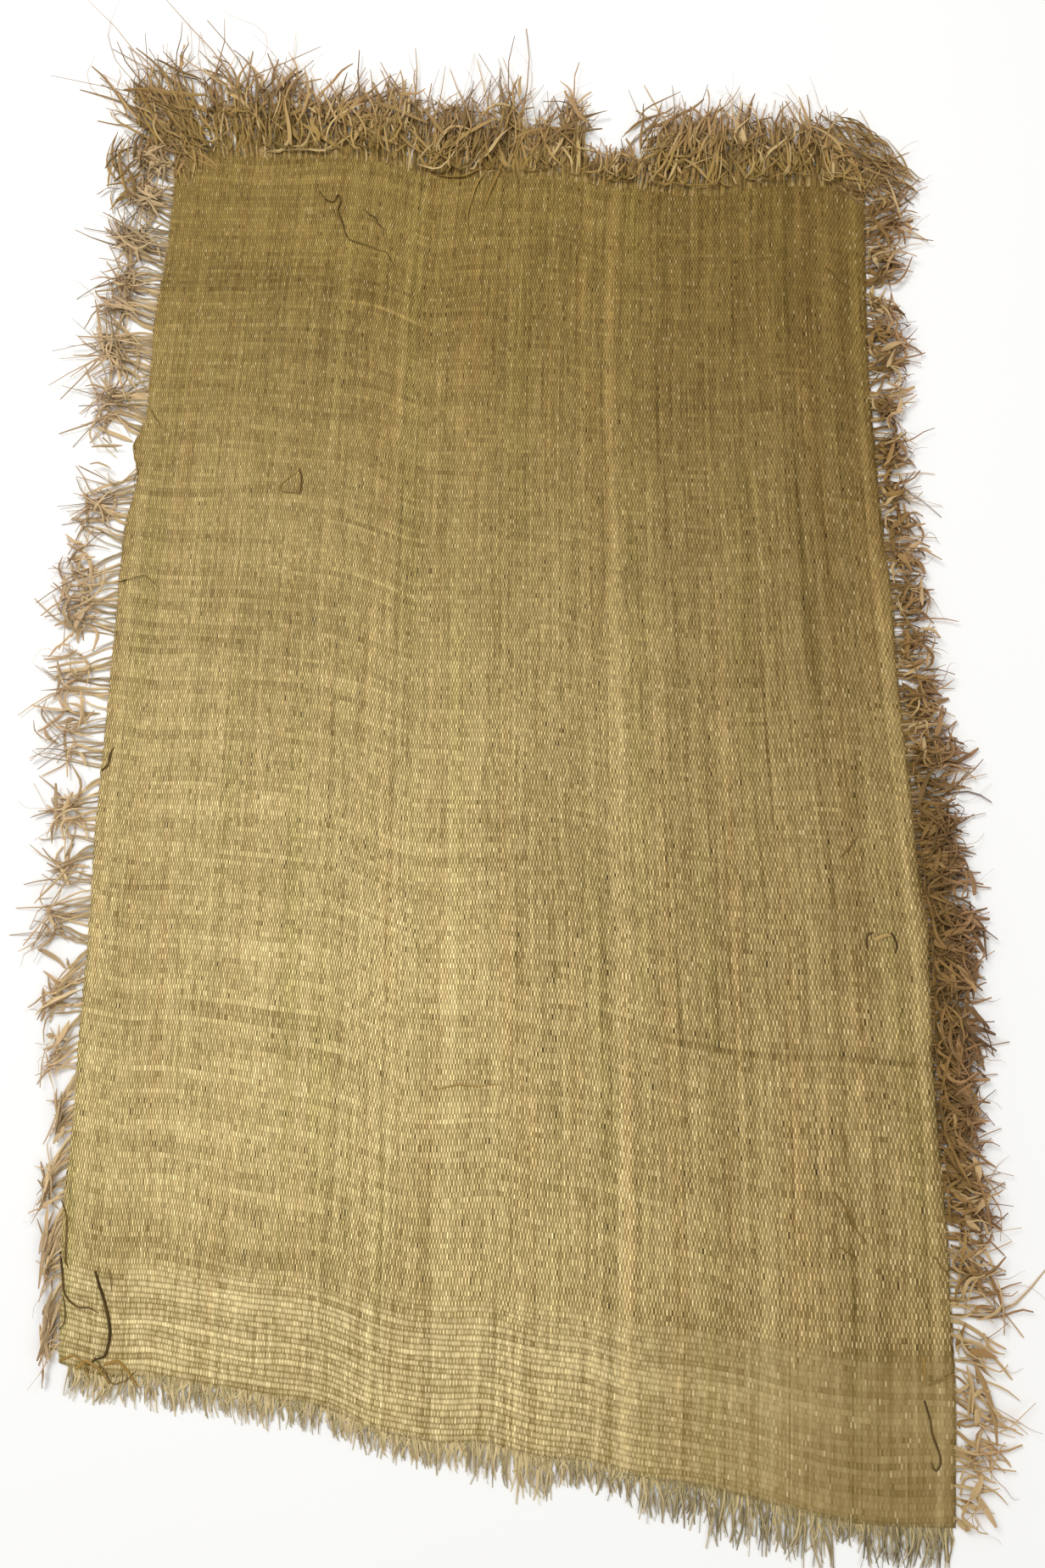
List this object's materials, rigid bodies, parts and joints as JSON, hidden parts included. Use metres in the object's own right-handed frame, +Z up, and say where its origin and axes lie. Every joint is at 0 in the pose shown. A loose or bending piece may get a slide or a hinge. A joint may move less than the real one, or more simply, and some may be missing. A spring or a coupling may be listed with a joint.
{
  "type": "raffia cloth",
  "caption": "Flat hand-woven raffia cloth in plain weave, lying face up, with loose frayed fibre ends left free along every edge.",
  "frame": {"origin": "middle of the cloth's bounding box, fringe included, on the surface it lies on", "axes": "+X to the right across the width, +Y along the length away from the viewer, +Z up out of the cloth's face"},
  "size_m": [0.664, 1.1044, 0.0065],
  "materials": {
    "raffia_weave": "plain weave of dry raffia strips, low sheen",
    "raffia_fringe": "loose dry raffia fibre, low sheen"
  },
  "bodies": {
    "root": {"woven_panel": "raffia_weave", "fringe_left": "raffia_fringe", "fringe_right": "raffia_fringe", "fringe_top": "raffia_fringe", "fringe_bottom": "raffia_fringe"}
  },
  "joints": []
}
